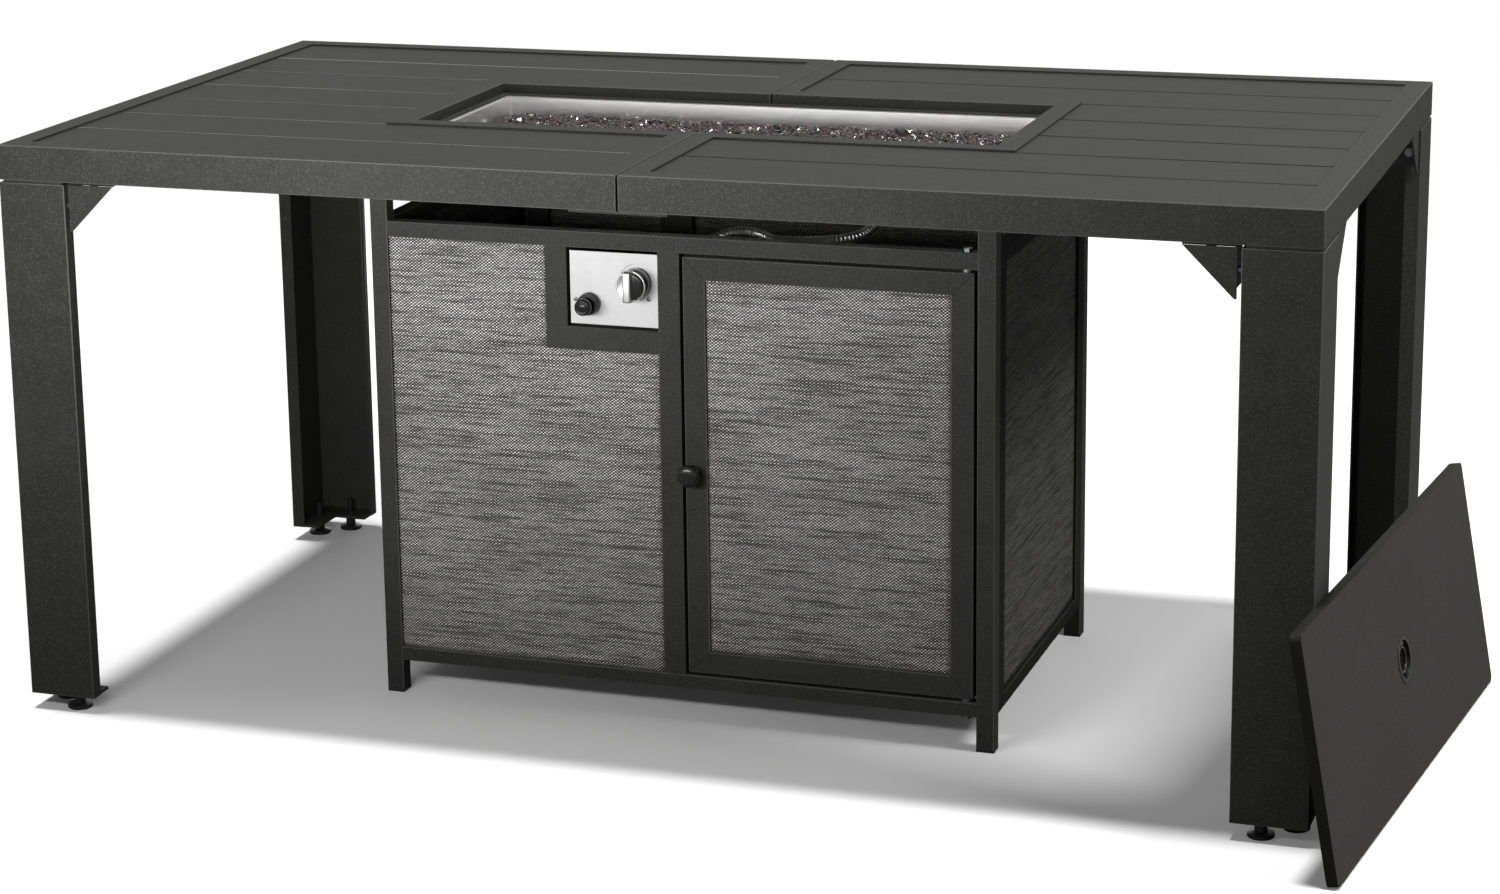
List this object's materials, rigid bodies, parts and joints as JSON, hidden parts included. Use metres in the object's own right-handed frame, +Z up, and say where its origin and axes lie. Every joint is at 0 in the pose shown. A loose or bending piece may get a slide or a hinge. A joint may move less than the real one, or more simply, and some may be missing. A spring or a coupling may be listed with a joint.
{
  "type": "fire pit table",
  "caption": "Rectangular steel fire pit table: slatted top with a gas burner tray in its middle, woven cabinet for the gas bottle with a hinged door, and the burner's lid leaning on a leg.",
  "frame": {"origin": "on the floor under the middle of the table top", "axes": "+X along the table to the right as seen from the door side, +Y to the rear, +Z up"},
  "size_m": [1.7284, 0.9713, 0.72],
  "materials": {
    "coated_steel": "textured charcoal powder coat",
    "woven_mesh": "coarse black, grey and white weave",
    "zinc_steel": "zinc plated",
    "stainless": "bright pressed stainless steel",
    "satin_plate": "satin",
    "black_plastic": "moulded",
    "valve_brass": "cast and turned",
    "flex_metal": "ribbed, dull",
    "lead_rubber": "insulated lead",
    "dark_glass": "tumbled pieces"
  },
  "bodies": {
    "table": {"top_frame_left": "coated_steel", "top_frame_right": "coated_steel", "top_panel_left": "coated_steel", "top_panel_right": "coated_steel", "top_stiffeners": "coated_steel", "seam_plates": "coated_steel", "leg_front_left": "coated_steel", "leg_front_right": "coated_steel", "leg_rear_left": "coated_steel", "leg_rear_right": "coated_steel", "gussets": "coated_steel", "cabinet_posts": "coated_steel", "front_top_rail": "coated_steel", "front_bottom_rail": "coated_steel", "front_mid_stile": "coated_steel", "control_surround": "coated_steel", "left_panel_frame": "coated_steel", "right_panel_frame": "coated_steel", "rear_panel_frame": "coated_steel", "valve_bracket": "coated_steel", "burner_collar": "coated_steel", "front_fabric": "woven_mesh", "left_panel_fabric": "woven_mesh", "right_panel_fabric": "woven_mesh", "rear_panel_fabric": "woven_mesh", "hex_bolts": "zinc_steel", "hex_nuts": "zinc_steel", "small_screws": "zinc_steel", "pivot_pins": "zinc_steel", "burner_pan": "stainless", "burner_tube": "stainless", "ignition_bracket": "stainless", "control_plate": "satin_plate", "post_plugs": "black_plastic", "catch_magnet": "black_plastic", "igniter_body": "black_plastic", "gas_valve": "valve_brass", "air_mixer": "valve_brass", "gas_hose": "flex_metal", "igniter_wire": "lead_rubber", "thermocouple_lead": "lead_rubber", "fire_glass": "dark_glass"},
    "door": {"door_frame": "coated_steel", "door_fabric": "woven_mesh", "door_knob": "black_plastic", "catch_striker": "zinc_steel"},
    "spindle": {"valve_spindle": "valve_brass"},
    "knob": {"gas_knob": "satin_plate"},
    "button": {"igniter_button": "black_plastic"},
    "lid": {"lid_panel": "coated_steel", "lid_cup": "black_plastic"},
    "pull": {"lid_ring": "black_plastic"},
    "foot_front_left_outer_body": {"foot_front_left_outer": "black_plastic"},
    "foot_front_left_inner_body": {"foot_front_left_inner": "black_plastic"},
    "foot_front_right_outer_body": {"foot_front_right_outer": "black_plastic"},
    "foot_front_right_inner_body": {"foot_front_right_inner": "black_plastic"},
    "foot_rear_left_outer_body": {"foot_rear_left_outer": "black_plastic"},
    "foot_rear_left_inner_body": {"foot_rear_left_inner": "black_plastic"},
    "foot_rear_right_outer_body": {"foot_rear_right_outer": "black_plastic"},
    "foot_rear_right_inner_body": {"foot_rear_right_inner": "black_plastic"}
  },
  "joints": [
    {"name": "door_swing", "type": "hinge", "parent": "table", "child": "door", "pos_m": [0.359, -0.231, 0.3255], "axis": [0, 0, 1], "range_deg": [0, 110]},
    {"name": "knob_turn", "type": "hinge", "parent": "table", "child": "spindle", "pos_m": [-0.048, -0.24, 0.551], "axis": [0, -1, 0], "range_deg": [0, 180]},
    {"name": "knob_push", "type": "slide", "parent": "spindle", "child": "knob", "axis": [0, 1, 0], "range_m": [0, 0.0035], "stiffness_N_per_m": 700, "springref_m": -0.002},
    {"name": "igniter_press", "type": "slide", "parent": "table", "child": "button", "axis": [0, 1, 0], "range_m": [0, 0.005], "stiffness_N_per_m": 500, "springref_m": -0.002},
    {"name": "lid_lift", "type": "slide", "parent": "table", "child": "lid", "axis": [0, 0, 1], "range_m": [0, 0.45]},
    {"name": "ring_flip", "type": "hinge", "parent": "lid", "child": "pull", "pos_m": [0.85886, -0.17012, 0.15986], "axis": [-0.1045, -0.9945, 0], "range_deg": [0, 90]},
    {"name": "foot_front_left_outer_turn", "type": "hinge", "parent": "table", "child": "foot_front_left_outer_body", "pos_m": [-0.744, -0.408, 0.02], "axis": [0, 0, 1], "range_deg": [-360, 360]},
    {"name": "foot_front_left_inner_turn", "type": "hinge", "parent": "table", "child": "foot_front_left_inner_body", "pos_m": [-0.778, -0.374, 0.02], "axis": [0, 0, 1], "range_deg": [-360, 360]},
    {"name": "foot_front_right_outer_turn", "type": "hinge", "parent": "table", "child": "foot_front_right_outer_body", "pos_m": [0.744, -0.408, 0.02], "axis": [0, 0, 1], "range_deg": [-360, 360]},
    {"name": "foot_front_right_inner_turn", "type": "hinge", "parent": "table", "child": "foot_front_right_inner_body", "pos_m": [0.778, -0.374, 0.02], "axis": [0, 0, 1], "range_deg": [-360, 360]},
    {"name": "foot_rear_left_outer_turn", "type": "hinge", "parent": "table", "child": "foot_rear_left_outer_body", "pos_m": [-0.744, 0.408, 0.02], "axis": [0, 0, 1], "range_deg": [-360, 360]},
    {"name": "foot_rear_left_inner_turn", "type": "hinge", "parent": "table", "child": "foot_rear_left_inner_body", "pos_m": [-0.778, 0.374, 0.02], "axis": [0, 0, 1], "range_deg": [-360, 360]},
    {"name": "foot_rear_right_outer_turn", "type": "hinge", "parent": "table", "child": "foot_rear_right_outer_body", "pos_m": [0.744, 0.408, 0.02], "axis": [0, 0, 1], "range_deg": [-360, 360]},
    {"name": "foot_rear_right_inner_turn", "type": "hinge", "parent": "table", "child": "foot_rear_right_inner_body", "pos_m": [0.778, 0.374, 0.02], "axis": [0, 0, 1], "range_deg": [-360, 360]}
  ]
}
